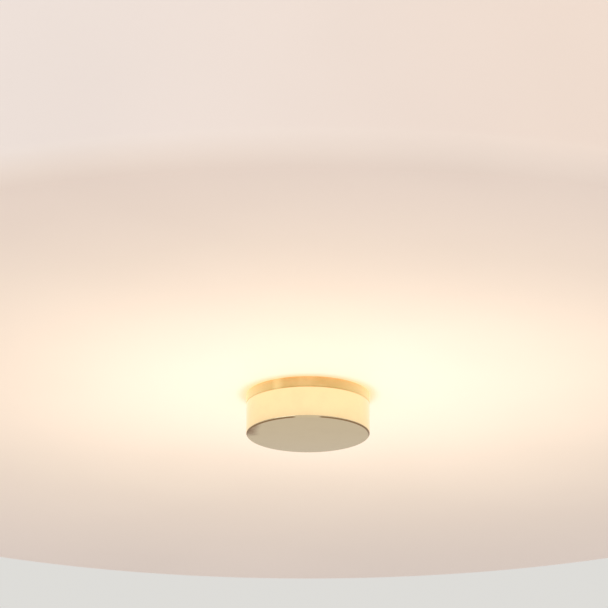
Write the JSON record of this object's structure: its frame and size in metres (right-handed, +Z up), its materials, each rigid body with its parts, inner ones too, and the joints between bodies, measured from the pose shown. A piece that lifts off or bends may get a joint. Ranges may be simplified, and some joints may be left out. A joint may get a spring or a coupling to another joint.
{
  "type": "flush mount ceiling light",
  "caption": "Round flush mount ceiling light: opal glass drum held to a pressed pan by a brass finial on a central rod, with screw-in lamps inside.",
  "frame": {"origin": "on the ceiling plane, midway between the two ceiling screw slots and on the fitting's axis", "axes": "+Z up into the ceiling, X along the line of the two screw slots, +Y the way both lamps point"},
  "size_m": [0.4107, 0.4108, 0.1192],
  "materials": {
    "enamel": "white stoved enamel",
    "foam": "closed-cell foam",
    "plated_steel": "bright zinc plate",
    "opal_glass": "opal, gloss outside",
    "nylon": "natural nylon",
    "amber": "translucent, yellowed",
    "polished_brass": "polished, slightly worn",
    "contact_brass": "plain",
    "porcelain": "white glaze",
    "cap_metal": "satin",
    "vitrite": "black glass",
    "frosted_glass": "inside frosted, lit",
    "block_plastic": "white polyamide",
    "grommet_rubber": "black",
    "lead_brown": "insulation",
    "lead_blue": "insulation",
    "lead_earth": "green and yellow insulation"
  },
  "bodies": {
    "fixture": {"ceiling_pan": "enamel", "rim_seal": "foam", "centre_rod": "plated_steel", "rod_nuts": "plated_steel", "rod_washers": "plated_steel", "holder_screws": "plated_steel", "pan_screws": "plated_steel", "terminal_block": "block_plastic", "terminal_inserts": "contact_brass", "block_screw": "plated_steel", "earth_tag": "contact_brass", "cable_grommet": "grommet_rubber", "live_leads": "lead_brown", "neutral_leads": "lead_blue", "earth_lead": "lead_earth", "lead_clips": "nylon", "lampholder_1": "porcelain", "screw_shell_1": "contact_brass", "contact_spring_1": "contact_brass", "holder_bracket_1": "plated_steel", "lampholder_2": "porcelain", "screw_shell_2": "contact_brass", "contact_spring_2": "contact_brass", "holder_bracket_2": "plated_steel"},
    "shade": {"glass_shade": "opal_glass", "glass_bush": "nylon"},
    "tint": {"finial_washer": "amber"},
    "finial_nut": {"finial": "polished_brass"},
    "bulb_1_end": {"bulb_contact_1": "contact_brass", "bulb_insulator_1": "vitrite"},
    "bulb_1": {"bulb_globe_1": "frosted_glass", "bulb_cap_1": "cap_metal"},
    "bulb_2_end": {"bulb_contact_2": "contact_brass", "bulb_insulator_2": "vitrite"},
    "bulb_2": {"bulb_globe_2": "frosted_glass", "bulb_cap_2": "cap_metal"}
  },
  "joints": [
    {"name": "shade_lower", "type": "slide", "parent": "fixture", "child": "shade", "axis": [0, 0, -1], "range_m": [0, 0.125]},
    {"name": "finial_travel", "type": "slide", "parent": "shade", "child": "tint", "axis": [0, 0, -1], "range_m": [0, 0.006]},
    {"name": "finial_turn", "type": "hinge", "parent": "tint", "child": "finial_nut", "pos_m": [0, 0, -0.1122], "axis": [0, 0, -1], "range_deg": [0, 2175]},
    {"name": "bulb_1_travel", "type": "slide", "parent": "fixture", "child": "bulb_1_end", "axis": [0, 1, 0], "range_m": [0, 0.0217]},
    {"name": "bulb_1_turn", "type": "hinge", "parent": "bulb_1_end", "child": "bulb_1", "pos_m": [0.06, -0.06, -0.045], "axis": [0, 1, 0], "range_deg": [0, 2175]},
    {"name": "bulb_2_travel", "type": "slide", "parent": "fixture", "child": "bulb_2_end", "axis": [0, 1, 0], "range_m": [0, 0.0217]},
    {"name": "bulb_2_turn", "type": "hinge", "parent": "bulb_2_end", "child": "bulb_2", "pos_m": [-0.06, -0.06, -0.045], "axis": [0, 1, 0], "range_deg": [0, 2175]}
  ],
  "couplings": [
    {"joint": "finial_turn", "follows": "finial_travel", "rad_per_m": 6283.2},
    {"joint": "bulb_1_turn", "follows": "bulb_1_travel", "rad_per_m": 1731.4},
    {"joint": "bulb_2_turn", "follows": "bulb_2_travel", "rad_per_m": 1731.4}
  ]
}
